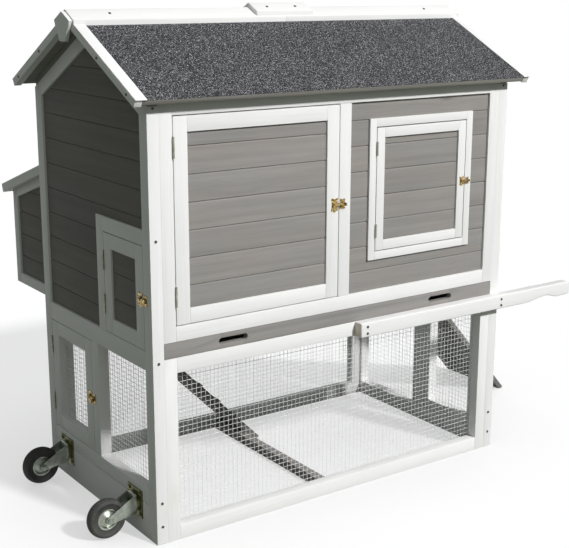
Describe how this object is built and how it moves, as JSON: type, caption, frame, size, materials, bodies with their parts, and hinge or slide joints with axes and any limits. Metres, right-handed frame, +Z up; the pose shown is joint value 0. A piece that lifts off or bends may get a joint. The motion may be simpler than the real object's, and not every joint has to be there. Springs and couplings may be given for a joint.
{
  "type": "chicken tractor",
  "caption": "Wooden hen house over a meshed run, with a felted gable roof, hinged doors, a nest box, a sliding tray, ramps, lifting handles and swivel castors.",
  "frame": {"origin": "On the ground, in the middle of the underside of the ground rail that crosses the run.", "axes": "+X along the length towards the lifting handles, +Y from the door side to the nest box, +Z up."},
  "size_m": [1.6177, 0.9325, 1.2554],
  "materials": {
    "white_paint": "satin white paint",
    "grey_stain": "grey stain",
    "bare_wood": "sawn softwood",
    "galvanised": "galvanised",
    "roof_felt": "mineral felt",
    "brass": "brass plate",
    "zinc_plate": "zinc plate",
    "tyre": "matt black rubber"
  },
  "bodies": {
    "coop": {"corner_posts": "white_paint", "left_end_frame": "white_paint", "left_gable_boards": "grey_stain", "left_run_mesh": "galvanised", "right_end_frame": "white_paint", "right_gable_boards": "grey_stain", "right_run_mesh": "galvanised", "door_trims": "white_paint", "front_frame": "white_paint", "front_boards": "grey_stain", "front_run_mesh": "galvanised", "back_frame": "white_paint", "back_boards": "grey_stain", "back_run_mesh": "galvanised", "tray_runners": "bare_wood", "perch": "bare_wood", "inner_ramp": "grey_stain", "outside_ramp": "grey_stain", "ground_rail": "grey_stain", "roof_deck": "grey_stain", "roof_felt": "roof_felt", "barge_boards": "white_paint", "ridge_boards": "white_paint", "finials": "white_paint", "handle_front": "white_paint", "handle_back": "white_paint", "nest_box_frame": "white_paint", "nest_box_boards": "grey_stain", "frame_screws": "zinc_plate", "frame_hinge_leaves": "zinc_plate", "latch_keepers": "brass", "castor_plates": "zinc_plate"},
    "front_door": {"front_door_frame": "white_paint", "front_door_boards": "grey_stain", "front_door_hardware": "brass"},
    "front_latch": {"front_door_lever": "brass"},
    "window_door": {"window_door_frame": "white_paint", "window_door_boards": "grey_stain", "window_door_hardware": "brass"},
    "window_latch": {"window_door_lever": "brass"},
    "house_door": {"house_door_frame": "white_paint", "house_door_boards": "grey_stain", "house_door_hardware": "brass"},
    "house_latch": {"house_door_lever": "brass"},
    "run_door": {"run_door_frame": "white_paint", "run_door_mesh": "galvanised", "run_door_hardware": "brass"},
    "run_latch": {"run_door_lever": "brass"},
    "tray": {"tray_front": "grey_stain", "tray_pan": "galvanised"},
    "nest_lid": {"nest_lid": "white_paint", "nest_lid_felt": "roof_felt", "nest_lid_hinges": "zinc_plate"},
    "hatch": {"pop_hatch": "grey_stain"},
    "front_castor": {"castor_fork_front": "zinc_plate"},
    "front_wheel": {"castor_wheel_front": "zinc_plate", "castor_tyre_front": "tyre"},
    "rear_castor": {"castor_fork_rear": "zinc_plate"},
    "rear_wheel": {"castor_wheel_rear": "zinc_plate", "castor_tyre_rear": "tyre"}
  },
  "joints": [
    {"name": "front_door_hinge", "type": "hinge", "parent": "coop", "child": "front_door", "pos_m": [-0.45825, -0.3026, 0.777], "axis": [0, 0, -1], "range_deg": [0, 105]},
    {"name": "front_latch_turn", "type": "hinge", "parent": "front_door", "child": "front_latch", "pos_m": [-0.00475, -0.303, 0.77214], "axis": [0, -1, 0], "range_deg": [0, 90]},
    {"name": "window_door_hinge", "type": "hinge", "parent": "coop", "child": "window_door", "pos_m": [0.12737, -0.3026, 0.795], "axis": [0, 0, -1], "range_deg": [0, 105]},
    {"name": "window_latch_turn", "type": "hinge", "parent": "window_door", "child": "window_latch", "pos_m": [0.42127, -0.303, 0.79235], "axis": [0, -1, 0], "range_deg": [0, 90]},
    {"name": "house_door_hinge", "type": "hinge", "parent": "coop", "child": "house_door", "pos_m": [-0.5251, -0.06525, 0.6], "axis": [0, 0, -1], "range_deg": [0, 105]},
    {"name": "house_latch_turn", "type": "hinge", "parent": "house_door", "child": "house_latch", "pos_m": [-0.5255, -0.249, 0.59899], "axis": [-1, 0, 0], "range_deg": [0, 90]},
    {"name": "run_door_hinge", "type": "hinge", "parent": "coop", "child": "run_door", "pos_m": [-0.5251, 0.26275, 0.278], "axis": [0, 0, -1], "range_deg": [0, 105]},
    {"name": "run_latch_turn", "type": "hinge", "parent": "run_door", "child": "run_latch", "pos_m": [-0.5255, 0.04, 0.27547], "axis": [-1, 0, 0], "range_deg": [0, 90]},
    {"name": "tray_slide", "type": "slide", "parent": "coop", "child": "tray", "axis": [0, -1, 0], "range_m": [0, 0.45]},
    {"name": "nest_lid_hinge", "type": "hinge", "parent": "coop", "child": "nest_lid", "pos_m": [-0.2425, 0.3026, 0.84496], "axis": [1, 0, 0], "range_deg": [0, 75]},
    {"name": "hatch_slide", "type": "slide", "parent": "coop", "child": "hatch", "axis": [0, 0, 1], "range_m": [0, 0.22]},
    {"name": "front_castor_swivel", "type": "hinge", "parent": "coop", "child": "front_castor", "pos_m": [-0.5345, -0.194, 0.078], "axis": [1, 0, 0], "continuous": true},
    {"name": "front_wheel_spin", "type": "hinge", "parent": "front_castor", "child": "front_wheel", "pos_m": [-0.6035, -0.194, 0.052], "axis": [0, 1, 0], "continuous": true},
    {"name": "rear_castor_swivel", "type": "hinge", "parent": "coop", "child": "rear_castor", "pos_m": [-0.5345, 0.194, 0.078], "axis": [1, 0, 0], "continuous": true},
    {"name": "rear_wheel_spin", "type": "hinge", "parent": "rear_castor", "child": "rear_wheel", "pos_m": [-0.6035, 0.194, 0.052], "axis": [0, 1, 0], "continuous": true}
  ]
}
